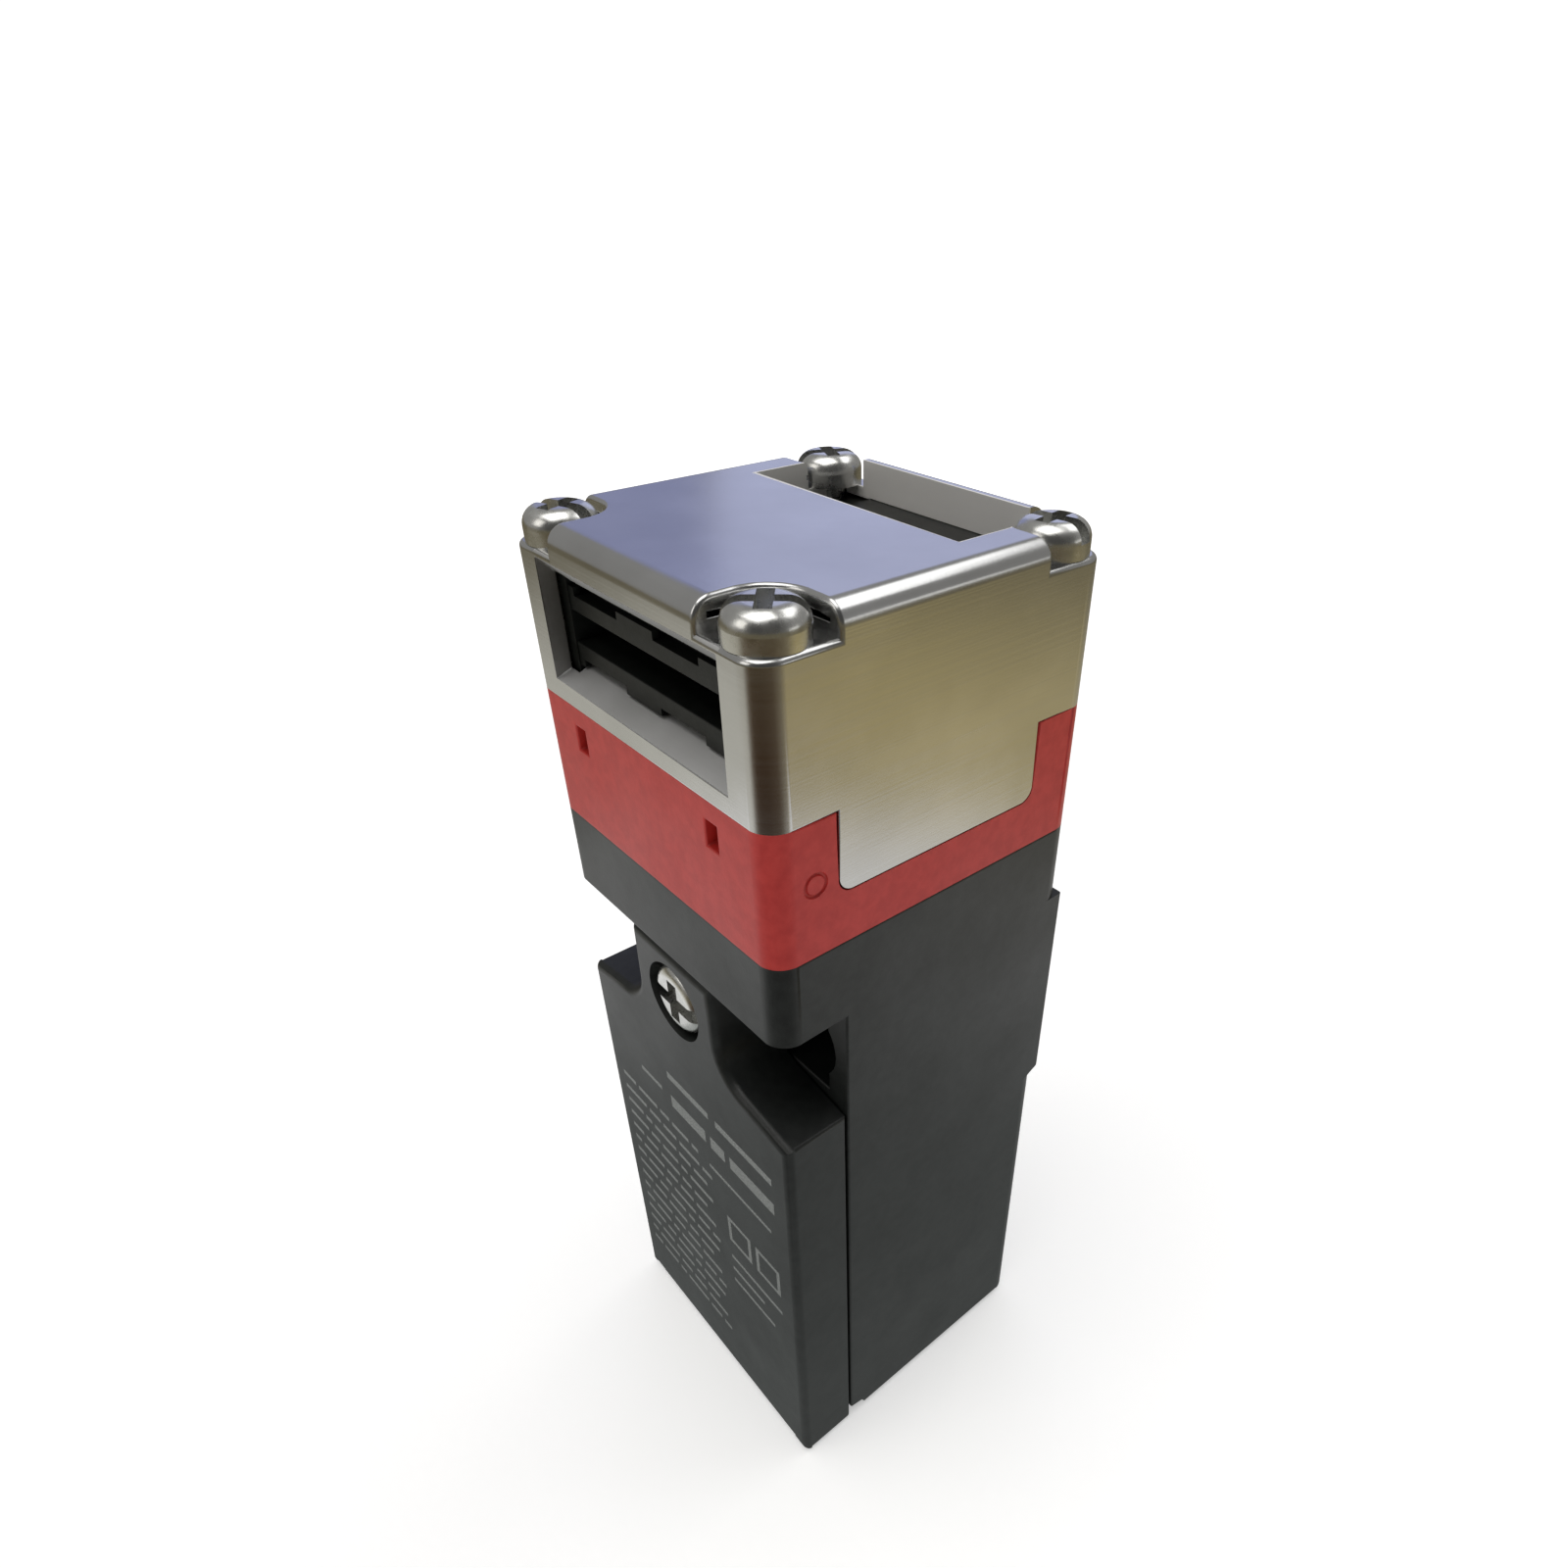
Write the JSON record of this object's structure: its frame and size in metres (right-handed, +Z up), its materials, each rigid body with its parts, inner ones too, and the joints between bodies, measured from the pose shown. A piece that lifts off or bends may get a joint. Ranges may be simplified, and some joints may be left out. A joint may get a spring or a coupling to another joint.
{
  "type": "door interlock switch",
  "caption": "Slim door interlock switch with a red and steel key head, key slots in the front and the top, a screwed lid and a conduit port in the base.",
  "frame": {"origin": "middle of the footprint at the underside of the base", "axes": "+Z up along the body, -Y out of the lid and the front key slot, +X to the right as seen from the front"},
  "size_m": [0.03, 0.03, 0.089],
  "materials": {
    "black_plastic": "fine matt moulding",
    "guide_plastic": "matt moulding",
    "red_plastic": "fine matt moulding",
    "ivory_plastic": "satin moulding",
    "cam_plastic": "satin moulding",
    "satin_steel": "fine satin grain",
    "plated_steel": "bright plating",
    "brass": "plain",
    "rubber": "matt"
  },
  "bodies": {
    "body": {"housing": "black_plastic", "lid": "black_plastic", "lid_gasket": "rubber", "lid_screw": "plated_steel", "screw_insert": "brass", "head_base": "red_plastic", "head_seal": "rubber", "rod_seal": "rubber", "head_cap": "satin_steel", "key_guide": "guide_plastic", "head_screws": "plated_steel", "contact_block": "ivory_plastic", "contact_cover": "ivory_plastic", "safety_terminal_left": "brass", "safety_terminal_right": "brass", "signal_terminal_left": "brass", "signal_terminal_right": "brass", "clamp_washers": "plated_steel", "terminal_screws": "plated_steel", "block_screws": "plated_steel", "return_spring": "plated_steel"},
    "cam": {"cam_wheel": "cam_plastic", "cam_axle": "plated_steel"},
    "plunger": {"push_rod": "ivory_plastic", "contact_carrier": "cam_plastic", "safety_bridge": "brass", "signal_bridge": "brass", "bridge_springs": "plated_steel"}
  },
  "joints": [
    {"name": "cam_turn", "type": "hinge", "parent": "body", "child": "cam", "pos_m": [0, 0.001, 0.074], "axis": [1, 0, 0], "range_deg": [-60, 0]},
    {"name": "plunger_slide", "type": "slide", "parent": "body", "child": "plunger", "axis": [0, 0, 1], "range_m": [0, 0.0025], "deforming": ["return_spring"]}
  ],
  "couplings": [
    {"joint": "cam_turn", "follows": "plunger_slide", "rad_per_m": -418.88}
  ]
}
